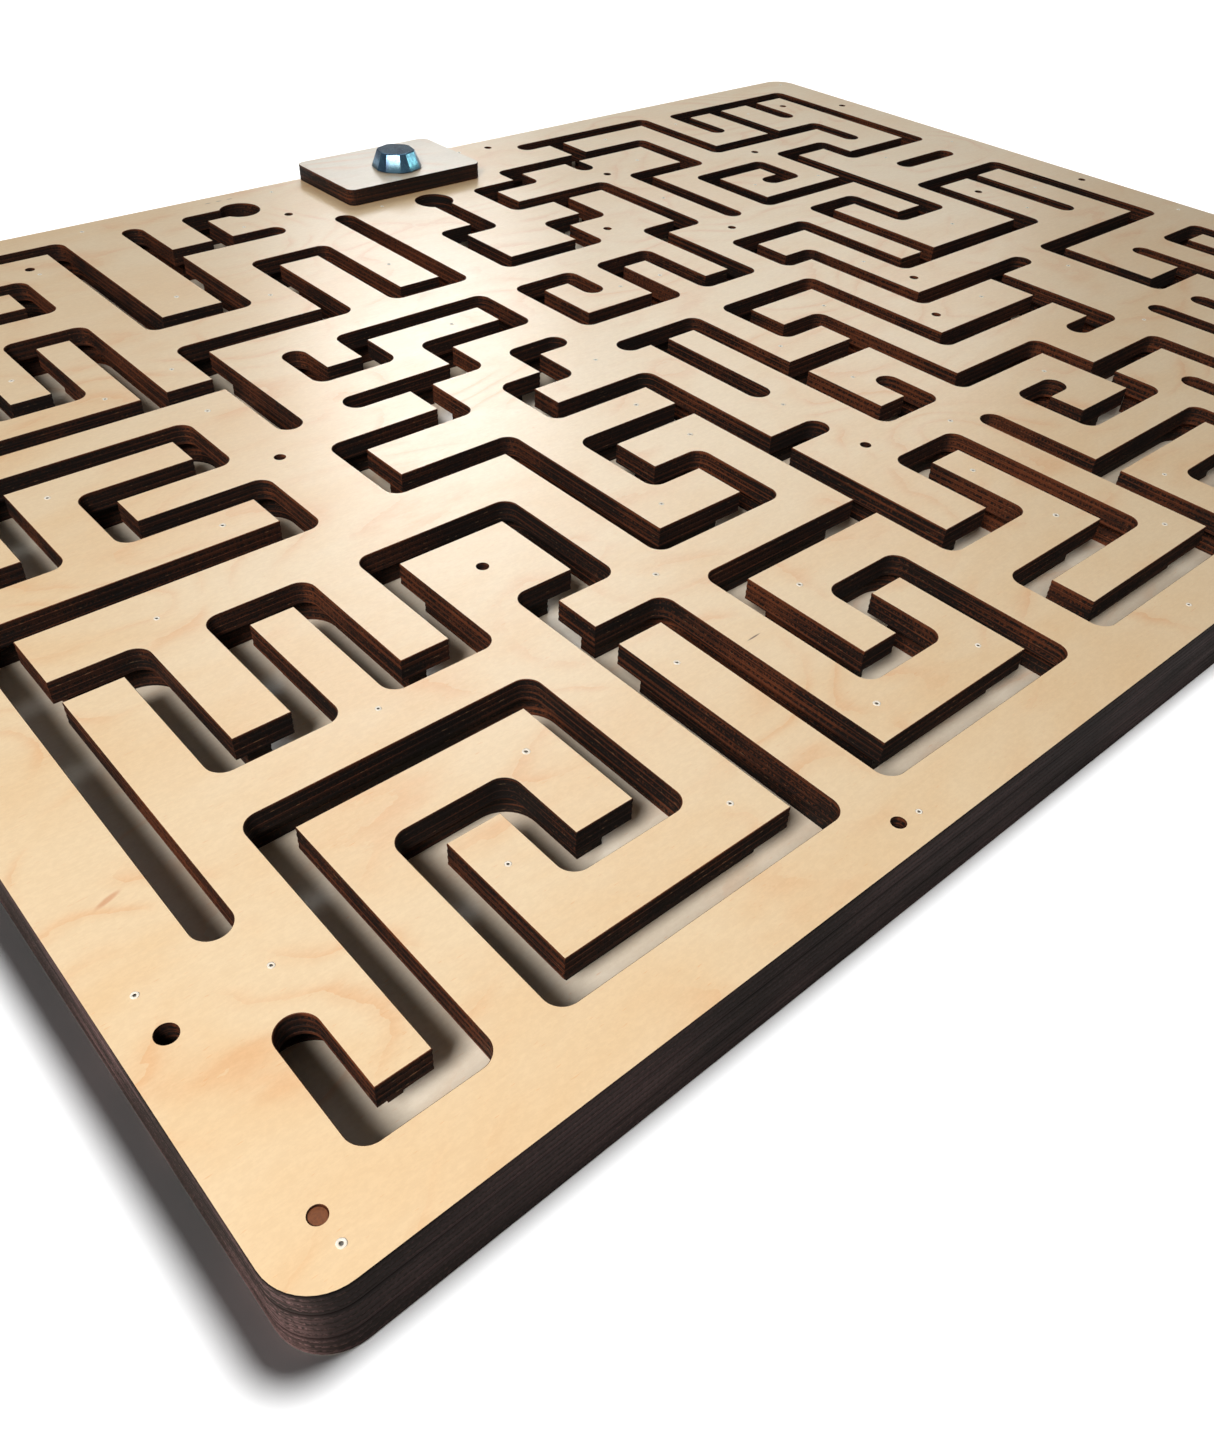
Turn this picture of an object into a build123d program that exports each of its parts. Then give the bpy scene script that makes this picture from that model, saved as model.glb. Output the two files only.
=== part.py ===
"""Tilt maze game: a captive steel ball in a three-layer plywood board.

The board is a sandwich of a floor panel, a middle panel with wide channels and a top panel
with narrow slots over them, so that a corridor has a T-shaped section that keeps the ball in.
A small plate swings on a bolt at the middle of the far edge.

The part's frame: X along the long side, Y along the short side, +Z up.
The origin is the middle of the board's underside.
Corridors and holes are laid out from the board's near left corner, in millimetres.
"""
from build123d import *
import os

# --- driving dimensions, mm -------------------------------------------------------------------
BOARD_LENGTH = 800.0
BOARD_WIDTH = 600.0
BOARD_CORNER_RADIUS = 15.0
FLOOR_THICKNESS = 9.0
CHANNEL_THICKNESS = 12.0
MAZE_THICKNESS = 9.0

SLOT_WIDTH = 12.0           # opening in the top panel
CHANNEL_WIDTH = 24.0        # run of the ball in the middle panel
BALL_DIAMETER = 14.0        # wider than the slot, thinner than slot and channel are deep
BALL_GAP = 0.3              # daylight under the ball
BALL_PLACE = (36.0, 460.0)

START_HOLE = (299.5, 571.0)
FINISH_HOLE = (402.5, 521.0)
END_HOLE_DIAMETER = 23.0

PEG_HOLE_DIAMETER = 5.0     # locating holes for lining the panels up
LARGE_PEG_HOLE_DIAMETER = 6.5
DOWEL_DIAMETER = 4.9        # brown dowel that fills the peg hole nearest the corner
DOWEL_PLACE = (16.0, 17.0)
DOWEL_TOP_DEPTH = 0.6       # its end grain below the board's face
DOWEL_CHAMFER = 0.3

BRAD_SHANK_DIAMETER = 1.3
BRAD_HEAD_DIAMETER = 2.0
BRAD_HEAD_HEIGHT = 0.8
BRAD_SINK_DEPTH = 0.35      # top of the head below the board's face
BRAD_LENGTH = 25.0
BRAD_POCKET_DIAMETER = 2.2

PIVOT = (402.5, 560.0)
BOLT_DIAMETER = 12.0
BOLT_HEAD_DIAMETER = 30.0
BOLT_HEAD_HEIGHT = 6.6
BOLT_HEAD_RECESS_DIAMETER = 36.0
BOLT_NECK_SIDE = 12.0
BOLT_NECK_LENGTH = 7.0
HEAD_WASHER_DIAMETER = 32.0
HEAD_WASHER_THICKNESS = 2.0
HEAD_WASHER_BORE = 17.4
FIT_CLEARANCE = 0.05        # radial, plate on bolt
HOLE_CLEARANCE = 0.3        # radial, bolt in the panels

PLATE_LEFT, PLATE_RIGHT = 355.0, 451.0
PLATE_FRONT, PLATE_BACK = 538.0, 600.0
PLATE_THICKNESS = 9.0
PLATE_CORNER_RADIUS = 5.0
PLAY = 0.1                  # daylight above and below the swinging plate

GLIDE_WASHER_DIAMETER = 30.0
GLIDE_WASHER_THICKNESS = 0.4
NUT_WASHER_DIAMETER = 26.0
NUT_WASHER_THICKNESS = 0.8

NUT_BASE_FLATS = 29.0
NUT_TOP_FLATS = 21.4
NUT_HEIGHT = 9.5
NUT_TURNED_BASE_RADIUS = 15.2
NUT_TURNED_TOP_RADIUS = 11.4
NUT_TOP_ROUNDING = 1.0
NUT_THREAD_DEPTH = 7.0
NUT_TURN = 18.0             # degrees, from a corner on +X

# --- corridors: start x, y and then the way, each leg up to the coordinate it names --------------
CORRIDORS = [
    (START_HOLE, "W270 S530"),
    ((234, 530), "E299"),
    ((36, 288), "E68 N348 E150 S318 W100 S288 E154 S256 W36 S103"),
    ((36, 288), "N573 E190 S452 E234 N571"),
    ((36, 378), "E190"),
    ((156, 378), "N465 W128 S406 W98 N500 E154 N533 W68 S440"),
    ((190, 328), "N416.5 E270 N490.5 E305.5 S416.5 E342 N524"),
    ((36, 217), "E68.5 S157 E101 N217 E130 S157 E161.5 N216.5 E221 S163 W193 S29 W94 N93 E125 S61 "
                "E159 N125 W64.5 S29 W36 N59"),
    ((193, 131), "E225 S29 E314.5 N96 W286 S63 W256.5 N130.5 E343.5"),
    ((334, 323), "W314 S296 W289 S267 E343.5 S93 E382.5 N141.5 E413 S59 W347 S29 E443 N142"),
    ((343.5, 187), "E372"),
    ((343.5, 235), "W285 S199 E311 S163 W254 N257 W198 N294.5 E254.5 N327.5"),
    ((224, 327.5), "E285 N354 E334.5 N384.5 W256.5 S358 W225.5 N382.5"),
    ((361.5, 299), "E406 S176 E435 N196"),
    ((376.5, 299), "S227"),
    ((406, 232.5), "E463.5"),
    ((591, 209), "W496 N299 W436.5 S264 E463.5 S175.5 E530 S116 W479.5 N145.5 E497"),
    ((530, 141.5), "E586.5 S29 W475 N57 E528.5 N87 W443"),
    ((557.5, 29), "N105"),
    ((567, 175.5), "E591 N249"),
    ((623, 249), "W529 N328 W508.5 N362 E561 S286 E686 N364 E764 S250.5 W657 S182 E699"),
    ((699, 214), "S61"),
    ((626, 162), "S29 E764.5 N213.5 W735 S61 W657.5 N154"),
    ((727.5, 364), "S286.5"),
    ((591.5, 286), "N375 E623 S337 E656 N462 E694 S435.5 E764 N568 W654.5 S529"),
    ((656, 403), "W573.5 N457 E623.5 S430.5 W607"),
    ((710.5, 401), "E754.5"),
    ((687, 568), "S496.5"),
    ((726, 568), "S527"),
    ((726, 464), "N496.5 W622 N572.5 W515"),
    ((536.5, 572.5), "S536.5"),
    ((520, 536.5), "S518.5"),
    ((539.5, 402), "N485 E588 N536.5 W472 S518 W438 S484.5 E506.5 S406 W478.5 S333.5 W449 N381.5 "
                   "W421 S333.5 W364.5 N381.5 E392.5 S363"),
    (FINISH_HOLE, "S469.5 W379 S416.5 E438 N448 E467.5 N484.5"),
]

PEG_HOLES = [
    (16, 17), (207, 10.5), (190.5, 190.5), (172.5, 304.5), (168.5, 552), (319, 549),
    (377.5, 163), (518.5, 231), (550, 270), (521.5, 384), (458.5, 425), (524, 499.5),
    (492.5, 586), (641, 478), (705, 337), (787.5, 311), (785, 521), (743.5, 545),
]
LARGE_PEG_HOLE = (12, 79)

BRADS = [
    (16.6, 8.5), (11.1, 94.2), (41.3, 81), (108.7, 70), (141, 102.6), (117, 147.4), (174, 47.4),
    (207.7, 105.2), (215.4, 9.5), (244.4, 49), (297, 46.5), (275, 110), (237.5, 147.4),
    (84.3, 233.4), (129.6, 272.3), (86.4, 330), (168, 358), (138, 393.8), (113, 434), (174, 403.6),
    (170, 543), (213, 477), (273, 182), (322.3, 216), (322, 250.5), (376.4, 210.5), (424.6, 209.5),
    (426.4, 153.8), (397.3, 120.7), (394.6, 78), (424.5, 46.6), (461.8, 67.5), (506.8, 157),
    (421.8, 253.6), (337.5, 296.4), (306, 369.5), (252, 452), (288, 545), (324, 452), (371, 530),
    (407, 356), (435, 355), (478, 274), (545, 302), (559, 231), (523, 445), (560, 510),
    (590.5, 430), (640, 419), (640, 310), (640, 228), (706, 300), (745, 320), (782, 415), (710, 418),
    (705, 545), (640, 556), (572, 556), (788, 588), (470, 588), (330, 588), (212, 588), (110, 588),
    (12, 588), (12, 440), (12, 270), (788, 240), (788, 112), (788, 12), (650, 12), (530, 12),
    (380, 12), (749.7, 120), (678, 110), (606, 80), (606, 160),
]

# --- levels, mm above the underside ---------------------------------------------------------------
CHANNEL_LEVEL = FLOOR_THICKNESS
MAZE_LEVEL = CHANNEL_LEVEL + CHANNEL_THICKNESS
BOARD_TOP = MAZE_LEVEL + MAZE_THICKNESS
GLIDE_TOP = BOARD_TOP + GLIDE_WASHER_THICKNESS
PLATE_LEVEL = GLIDE_TOP + PLAY
PLATE_TOP = PLATE_LEVEL + PLATE_THICKNESS
NUT_WASHER_LEVEL = PLATE_TOP + PLAY
NUT_LEVEL = NUT_WASHER_LEVEL + NUT_WASHER_THICKNESS
BOLT_TOP = NUT_LEVEL + NUT_THREAD_DEPTH
HEAD_WASHER_LEVEL = CHANNEL_LEVEL - HEAD_WASHER_THICKNESS


def spot(place, level=0.0):
    """The location of a point laid out from the near left corner, at a level."""
    return Pos(place[0] - BOARD_LENGTH / 2, place[1] - BOARD_WIDTH / 2, level)


def corners(start, way):
    """The corner points of a corridor, from its start and the legs of its way."""
    points = [start]
    for leg in way.split():
        x, y = points[-1]
        reach = float(leg[1:])
        points.append((reach, y) if leg[0] in "EW" else (x, reach))
    return points


def disc(place, diameter):
    return spot(place) * Circle(diameter / 2)


def corridor_outline(width):
    """All corridors as one flat shape: a disc of this width swept along every way."""
    pieces = []
    for start, way in CORRIDORS:
        points = corners(start, way)
        pieces += [disc(point, width) for point in points]
        for (ax, ay), (bx, by) in zip(points, points[1:]):
            middle = ((ax + bx) / 2, (ay + by) / 2)
            pieces.append(spot(middle) * Rectangle(abs(bx - ax) or width, abs(by - ay) or width))
    return Sketch() + pieces


def board_blank():
    return RectangleRounded(BOARD_LENGTH, BOARD_WIDTH, BOARD_CORNER_RADIUS)


def peg_holes():
    holes = [disc(place, PEG_HOLE_DIAMETER) for place in PEG_HOLES]
    return holes + [disc(LARGE_PEG_HOLE, LARGE_PEG_HOLE_DIAMETER)]


def bolt_hole():
    return disc(PIVOT, BOLT_DIAMETER + 2 * HOLE_CLEARANCE)


def panel(outline, level, thickness):
    return Pos(0, 0, level) * extrude(outline, thickness)


def ring(place, level, diameter, bore, thickness):
    """A flat washer."""
    flat = Circle(diameter / 2) - Circle(bore / 2)
    return spot(place, level) * extrude(flat, thickness)


# --- the board ------------------------------------------------------------------------------------
def floor_panel():
    outline = board_blank() - disc(PIVOT, BOLT_HEAD_RECESS_DIAMETER)
    return panel(outline, 0, FLOOR_THICKNESS)


def channel_panel():
    ends = [disc(START_HOLE, CHANNEL_WIDTH), disc(FINISH_HOLE, CHANNEL_WIDTH)]
    outline = board_blank() - corridor_outline(CHANNEL_WIDTH) - ends - peg_holes() - bolt_hole()
    neck_side = BOLT_NECK_SIDE + 2 * HOLE_CLEARANCE
    neck_pocket = extrude(Rectangle(neck_side, neck_side), BOLT_NECK_LENGTH)
    return panel(outline, CHANNEL_LEVEL, CHANNEL_THICKNESS) - spot(PIVOT, CHANNEL_LEVEL) * neck_pocket


def maze_panel():
    ends = [disc(START_HOLE, END_HOLE_DIAMETER), disc(FINISH_HOLE, END_HOLE_DIAMETER)]
    outline = board_blank() - corridor_outline(SLOT_WIDTH) - ends - peg_holes() - bolt_hole()
    pocket_depth = BRAD_SINK_DEPTH + BRAD_HEAD_HEIGHT
    pockets = Sketch() + [disc(place, BRAD_POCKET_DIAMETER) for place in BRADS]
    cut = Pos(0, 0, BOARD_TOP - pocket_depth) * extrude(pockets, pocket_depth)
    return panel(outline, MAZE_LEVEL, MAZE_THICKNESS) - cut


def brad_nails():
    head_top = BOARD_TOP - BRAD_SINK_DEPTH
    head_level = head_top - BRAD_HEAD_HEIGHT
    shank_length = BRAD_LENGTH - BRAD_HEAD_HEIGHT
    head = Pos(0, 0, head_level) * extrude(Circle(BRAD_HEAD_DIAMETER / 2), BRAD_HEAD_HEIGHT)
    shank = Pos(0, 0, head_level - shank_length) * extrude(Circle(BRAD_SHANK_DIAMETER / 2), shank_length)
    brad = head + shank
    return Compound(children=[spot(place) * brad for place in BRADS])


def corner_dowel():
    """The dowel left in the peg hole nearest the near left corner, with both ends eased."""
    length = BOARD_TOP - DOWEL_TOP_DEPTH - CHANNEL_LEVEL
    stick = Pos(0, 0, length / 2) * Cylinder(DOWEL_DIAMETER / 2, length)
    stick = chamfer(stick.edges().filter_by(GeomType.CIRCLE), DOWEL_CHAMFER)
    return spot(DOWEL_PLACE, CHANNEL_LEVEL) * stick


def steel_ball():
    return spot(BALL_PLACE, CHANNEL_LEVEL + BALL_GAP + BALL_DIAMETER / 2) * Sphere(BALL_DIAMETER / 2)


# --- the swinging plate and what holds it -----------------------------------------------------------
def swing_plate():
    length = PLATE_RIGHT - PLATE_LEFT
    width = PLATE_BACK - PLATE_FRONT
    middle = ((PLATE_LEFT + PLATE_RIGHT) / 2, (PLATE_FRONT + PLATE_BACK) / 2)
    outline = spot(middle) * RectangleRounded(length, width, PLATE_CORNER_RADIUS)
    return panel(outline - disc(PIVOT, BOLT_DIAMETER + 2 * FIT_CLEARANCE), PLATE_LEVEL, PLATE_THICKNESS)


def pivot_bolt():
    """A round-headed bolt with a square neck, head down in the floor panel."""
    head = Pos(0, 0, HEAD_WASHER_LEVEL - BOLT_HEAD_HEIGHT) * extrude(
        Circle(BOLT_HEAD_DIAMETER / 2), BOLT_HEAD_HEIGHT)
    head = fillet(head.edges().group_by(Axis.Z)[0], BOLT_HEAD_HEIGHT / 2)
    neck_length = HEAD_WASHER_THICKNESS + BOLT_NECK_LENGTH
    neck = Pos(0, 0, HEAD_WASHER_LEVEL) * extrude(Rectangle(BOLT_NECK_SIDE, BOLT_NECK_SIDE), neck_length)
    shank = Pos(0, 0, HEAD_WASHER_LEVEL) * extrude(Circle(BOLT_DIAMETER / 2), BOLT_TOP - HEAD_WASHER_LEVEL)
    return spot(PIVOT) * (head + neck + shank)


def head_washer():
    return ring(PIVOT, HEAD_WASHER_LEVEL, HEAD_WASHER_DIAMETER, HEAD_WASHER_BORE, HEAD_WASHER_THICKNESS)


def glide_washer():
    bore = BOLT_DIAMETER + 2 * HOLE_CLEARANCE
    return ring(PIVOT, BOARD_TOP, GLIDE_WASHER_DIAMETER, bore, GLIDE_WASHER_THICKNESS)


def nut_washer():
    bore = BOLT_DIAMETER + 2 * HOLE_CLEARANCE
    return ring(PIVOT, NUT_WASHER_LEVEL, NUT_WASHER_DIAMETER, bore, NUT_WASHER_THICKNESS)


def cap_nut():
    """A six-sided nut that tapers to its closed top, with its corners turned off."""
    base = RegularPolygon(NUT_BASE_FLATS / 2, 6, major_radius=False)
    top = Pos(0, 0, NUT_HEIGHT) * RegularPolygon(NUT_TOP_FLATS / 2, 6, major_radius=False)
    turned = Pos(0, 0, NUT_HEIGHT / 2) * Cone(NUT_TURNED_BASE_RADIUS, NUT_TURNED_TOP_RADIUS, NUT_HEIGHT)
    body = loft([base, top]) & turned
    body = fillet(body.edges().group_by(Axis.Z)[-1], NUT_TOP_ROUNDING)
    thread = Pos(0, 0, NUT_THREAD_DEPTH / 2) * Cylinder(BOLT_DIAMETER / 2, NUT_THREAD_DEPTH)
    return spot(PIVOT, NUT_LEVEL) * Rot(0, 0, NUT_TURN) * (body - thread)


NODES = {
    "floor_panel": floor_panel,
    "channel_panel": channel_panel,
    "maze_panel": maze_panel,
    "brad_nails": brad_nails,
    "corner_dowel": corner_dowel,
    "steel_ball": steel_ball,
    "swing_plate": swing_plate,
    "pivot_bolt": pivot_bolt,
    "head_washer": head_washer,
    "glide_washer": glide_washer,
    "nut_washer": nut_washer,
    "cap_nut": cap_nut,
}

os.makedirs("parts", exist_ok=True)
for name, make in NODES.items():
    export_step(make(), f"parts/{name}.step")
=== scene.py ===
"""Tilt maze: the finished look of a captive-ball wooden board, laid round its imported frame."""

import math

import bmesh
import bpy
from bpy.props import FloatProperty, FloatVectorProperty, IntProperty, PointerProperty
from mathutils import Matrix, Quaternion, Vector


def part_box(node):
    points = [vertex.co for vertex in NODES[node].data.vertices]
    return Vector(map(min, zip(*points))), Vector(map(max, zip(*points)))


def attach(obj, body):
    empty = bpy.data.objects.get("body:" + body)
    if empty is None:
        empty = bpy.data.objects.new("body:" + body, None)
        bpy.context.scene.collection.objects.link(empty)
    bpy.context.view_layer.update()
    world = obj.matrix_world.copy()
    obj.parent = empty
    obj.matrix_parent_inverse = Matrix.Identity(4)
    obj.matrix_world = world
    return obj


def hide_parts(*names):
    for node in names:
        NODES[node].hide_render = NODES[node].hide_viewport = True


bl_info = {
    "name": "Tilt Maze Board",
    "version": (1, 0, 0),
    "blender": (4, 5, 0),
    "location": "View3D > Sidebar > Tilt Maze",
    "description": "Finishes a plywood tilt maze: veneer, charred edges, brads, bolt and ball",
    "category": "Object",
}

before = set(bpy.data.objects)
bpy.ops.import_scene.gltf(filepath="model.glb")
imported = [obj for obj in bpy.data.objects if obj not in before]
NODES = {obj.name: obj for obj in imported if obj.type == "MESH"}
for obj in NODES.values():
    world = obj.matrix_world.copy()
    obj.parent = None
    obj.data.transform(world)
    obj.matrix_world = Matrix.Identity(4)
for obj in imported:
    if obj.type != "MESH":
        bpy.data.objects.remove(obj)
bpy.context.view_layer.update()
BOARD_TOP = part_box("maze_panel")[1].z
MM = 0.001

# Where the ball is dropped in and where it is caught, on the board's top face.
START_HOLE = Vector((-0.1005, 0.2710, BOARD_TOP))
FINISH_HOLE = Vector((0.0025, 0.2210, BOARD_TOP))

# Short marks on the face: place, half length, half width, turn, colour, opacity.
BURN, STAIN = (0.10, 0.045, 0.025), (0.55, 0.20, 0.08)
FLECKS = ((Vector((-0.1615, -0.2013, 0)), 4.2 * MM, 0.45 * MM, 0.05, BURN, 0.95),
          (Vector((-0.3810, -0.1730, 0)), 5.5 * MM, 1.3 * MM, 0.30, STAIN, 0.55))
# Three dashes by each hole: which way they run, and how far beside the hole's middle.
DASH_ROWS = ((START_HOLE, 1, 20 * MM), (FINISH_HOLE, -1, -2 * MM))
DASH_PITCH, DASH_REACH = 7 * MM, 10 * MM

# Plies in each sheet, and how far its veneer pattern is slid away from the others'.
SHEETS = {"maze_panel": (7, (0, 0, 0)), "channel_panel": (9, (3, 1, 0)),
          "floor_panel": (7, (1, 5, 2)), "swing_plate": (7, (7, 2, 4))}

# How finely each layer of the veneer varies, per metre, with the grain along X.
VENEER = {"clouds": (9, 20, 9), "lines": (6.5, 12.0, 6.5), "raggedness": (70, 170, 70),
          "patches": (20, 34, 20), "flakes": (420, 760, 420), "fibre": (90, 1500, 90),
          "specks": (260, 1900, 260)}
GROWTH_LINES = 13.0
FLAKE_SHADE, FIBRE_SHADE = (0.84, 0.80, 0.76, 1), (0.80, 0.70, 0.58, 1)

# Charred walls inside the lanes, and the softer outside rim.
WALL_CHAR = {"Bands": 1300.0, "Steps": 0.30, "Glints": 0.22}
RIM_CHAR = {"Bands": 170.0, "Steps": 0.10, "Glints": 0.03}
GLINT = (0.42, 0.25, 0.13, 1)
GLUE_LINE = 1.6 * MM

SAME_POINT, SAME_LEVEL = 1e-6, 1e-5
PLY_STEP = 0.04 * MM        # half the height of the slope between two plies
LONG_CUT = 60 * MM          # cuts shorter than this all round are left as they are
PLY_CREASE = math.radians(30)
NUT_FLAT, NUT_EDGE, NUT_CREASE = (math.radians(angle) for angle in (1, 12, 25))

HEAD_SKIN = 0.01 * MM       # how far below a brad's top its head's vertices may lie
HEAD_CELL, HEAD_REACH = 5 * MM, 3 * MM      # no two brads are as near to each other as this
LIP_SINK = 0.02 * MM        # how deep the middle of a lip lies in the face
LIP_FLATNESS, LIP_TILT, LIP_TURN, LIP_SIZES = 0.42, 0.05, 6.28, (0.86, 1.14)
LIP_SHADE = (0.80, 0.70, 0.56, 1)

FLOOR_GAP = 0.2 * MM        # from the board's underside down to the floor
FLOOR_SKIP = 2 * MM         # a ray shorter than this passes the floor, to light an underside
SKY_BELOW = 0.55            # light from under the horizon, which only an underside meets
CAMERA_PLACE = Vector((-0.42545, -0.40778, 0.28141))
CAMERA_AIM = Vector((-0.23107, -0.20323, 0.03))
SUN_WAY = Vector((-0.40, -0.09, -1.0))
SUN_ANGLE = math.radians(24)

# Softboxes: setting, its share, name, place, aim, width, height, tint.
NUT_MIDDLE = (0.0025, 0.260, 0.045)
SOFTBOXES = (
    ("key", 1.0, "key_window", (-1.02, -0.60, 0.88), (-0.15, -0.08, 0), 0.34, 0.34,
     (1.0, 0.97, 0.93)),
    ("back", 1.0, "back_softbox", (0.45, 0.90, 1.0), (0, 0, 0), 0.8, 0.5, (0.86, 0.95, 1.0)),
    ("sheen", 1.0, "sheen_window", (0.609, 1.149, 0.688), (-0.135, 0.025, 0.03), 0.36, 0.28,
     (0.97, 0.98, 1.0)),
    ("sheen", 0.5, "wide_window", (0.92, 0.65, 0.60), (0.0, -0.07, 0.03), 0.60, 0.45,
     (0.93, 0.98, 1.0)),
    ("facets", 1.0, "nut_window_left", (-0.845, -0.401, 0.579), NUT_MIDDLE, 0.3, 0.3,
     (1.0, 0.70, 0.50)),
    ("facets", 0.6, "nut_window_right", (1.085, -0.193, 0.300), NUT_MIDDLE, 0.3, 0.3,
     (0.75, 1, 0.80)))


def colour(label, about, default):
    """A colour property in linear values, with full opacity."""
    return FloatVectorProperty(name=label, description=about, subtype="COLOR", size=4,
                               min=0, max=1, default=(*default, 1))


def length(label, about, default, top=1.0):
    """A length property in metres."""
    return FloatProperty(name=label, description=about, subtype="DISTANCE", unit="LENGTH",
                         min=0, max=top, precision=5, default=default)


def dim(tint, share):
    """A darker shade of a colour, with full opacity."""
    return (*(c * share for c in tint[:3]), 1)


class MazeWoodSettings(bpy.types.PropertyGroup):
    """Colours and edge sizes of the plywood."""

    pale: colour("Pale veneer", "Ground colour of the maple face", (0.840, 0.650, 0.420))
    warm: colour("Warm veneer", "Colour of the warmer clouds in the face", (0.820, 0.590, 0.345))
    line: colour("Growth line", "Orange-pink of the wandering growth lines", (0.740, 0.340, 0.120))
    plate: colour("Plate veneer", "Greyer maple of the swinging plate", (0.720, 0.620, 0.480))
    lane: colour("Lane floor", "Whiter face that the ball rolls on", (0.820, 0.740, 0.620))
    soot: colour("Soot", "Blackest part of the laser-cut edges", (0.012, 0.009, 0.008))
    ember: colour("Scorched ply", "Red-brown of the plies under the soot", (0.150, 0.045, 0.020))
    rim: colour("Scorched rim", "Purple-brown of the outside edges", (0.066, 0.038, 0.036))
    dowel: colour("Dowel", "Brown end grain of the corner dowel", (0.200, 0.060, 0.016))
    chamfer: length("Chamfer", "Width of the softened corner of every cut", 0.2 * MM, 0.001)
    ledge: length("Ply ledge", "How far the cross plies are burnt back", 0.09 * MM, 0.0005)


class MazeBradSettings(bpy.types.PropertyGroup):
    """Sizes of the crushed wood lip round each brad head."""

    radius: length("Lip radius", "Middle radius of the crushed lip", 0.86 * MM, 0.005)
    thickness: length("Lip thickness", "Radius of the lip's own section", 0.40 * MM, 0.002)
    ragged: length("Ragged", "How far the torn fibres wander", 0.26 * MM, 0.001)
    seed: IntProperty(name="Seed", description="Pattern of the torn fibres", default=7, min=0)
    fibre: colour("Crushed fibre", "Pale colour of the crushed wood", (0.92, 0.88, 0.80))
    head: colour("Brad head", "Dulled steel of the brads", (0.42, 0.39, 0.35))


class MazeHardwareSettings(bpy.types.PropertyGroup):
    """Colours and edges of the bolt, nut, washers and ball."""

    zinc: colour("Zinc", "Blue-passivated zinc", (0.080, 0.170, 0.240))
    deep: colour("Zinc shade", "Darker violet-blue patches of the plating", (0.035, 0.065, 0.115))
    steel: colour("Ball steel", "Polished steel of the ball", (0.72, 0.72, 0.73))
    nylon: colour("Nylon", "Milky white glide washer", (0.82, 0.81, 0.76))
    rounding: length("Nut rounding", "Radius on the nut's edges", 0.45 * MM, 0.002)


class MazeStudioSettings(bpy.types.PropertyGroup):
    """Camera, floor and lights."""

    lens: FloatProperty(name="Lens", description="Focal length", unit="CAMERA", default=29.77)
    roll: FloatProperty(name="Roll", description="Camera roll", subtype="ANGLE",
                        default=math.radians(3.243))
    floor: FloatProperty(name="Floor size", description="Width of the floor", unit="LENGTH",
                         default=14.0)
    key: FloatProperty(name="Key", description="Light of the window on the left",
                       subtype="POWER", default=17.5)
    back: FloatProperty(name="Back", description="Light of the softbox at the back right",
                        subtype="POWER", default=5.5)
    sheen: FloatProperty(name="Sheen", description="Light that shows as a sheen only",
                         subtype="POWER", default=4.3)
    sun: FloatProperty(name="Floor light", description="Wide light that lays the floor shadow",
                       default=5.2)
    facets: FloatProperty(name="Nut facets", description="Light that shows in the nut's facets",
                          subtype="POWER", default=3.6)
    air: FloatProperty(name="Air", description="Even light from all round", default=0.09)
    gleam: FloatProperty(name="Gleam", description="Light of the room in reflections",
                         default=0.45)


class MazeSettings(bpy.types.PropertyGroup):
    """Everything a user may change on the tilt maze."""

    wood: PointerProperty(type=MazeWoodSettings, name="Wood", description="Plywood finish")
    brads: PointerProperty(type=MazeBradSettings, name="Brads", description="Brads and lips")
    hardware: PointerProperty(type=MazeHardwareSettings, name="Hardware",
                              description="Bolt, nut, washers and ball")
    studio: PointerProperty(type=MazeStudioSettings, name="Studio",
                            description="Camera, floor and lights")


class Pen:
    """Lays nodes into a shader tree. Every call gives back a socket to feed to the next."""

    def __init__(self, tree):
        self.tree = tree

    def feed(self, socket, value):
        if isinstance(value, bpy.types.NodeSocket):
            self.tree.links.new(value, socket)
        elif value is not None:
            socket.default_value = value

    def node(self, kind, pairs=(), **settings):
        node = self.tree.nodes.new(kind)
        for name, value in settings.items():
            setattr(node, name, value)
        for socket, value in pairs:
            self.feed(node.inputs[socket], value)
        return node

    def math(self, operation, *values, clamp=False):
        return self.node("ShaderNodeMath", enumerate(values), operation=operation,
                         use_clamp=clamp).outputs[0]

    def mix(self, factor, first, second, blend="MIX"):
        return self.node("ShaderNodeMix", ((0, factor), (6, first), (7, second)),
                         data_type="RGBA", blend_type=blend).outputs[2]

    def fade(self, value, low, high, to_low=0.0, to_high=1.0):
        """A soft step of a value from low to high."""
        return self.node("ShaderNodeMapRange", enumerate((value, low, high, to_low, to_high)),
                         interpolation_type="SMOOTHSTEP").outputs[0]

    def shift(self, vector, scale=(1, 1, 1), place=(0, 0, 0), turn=0.0):
        return self.node("ShaderNodeMapping", ((0, vector), (1, place), (2, (0, 0, turn)),
                                               (3, scale))).outputs[0]

    def noise(self, vector, scale=1.0, detail=2.0, roughness=0.5, warp=0.0):
        return self.node("ShaderNodeTexNoise", (("Vector", vector), ("Scale", scale),
                         ("Detail", detail), ("Roughness", roughness),
                         ("Distortion", warp))).outputs[0]

    def xyz(self, vector):
        return self.node("ShaderNodeSeparateXYZ", ((0, vector),)).outputs

    def group(self, tree, **values):
        node = self.node("ShaderNodeGroup", node_tree=tree)
        for name, value in values.items():
            self.feed(node.inputs[name.replace("_", " ")], value)
        return node.outputs


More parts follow.
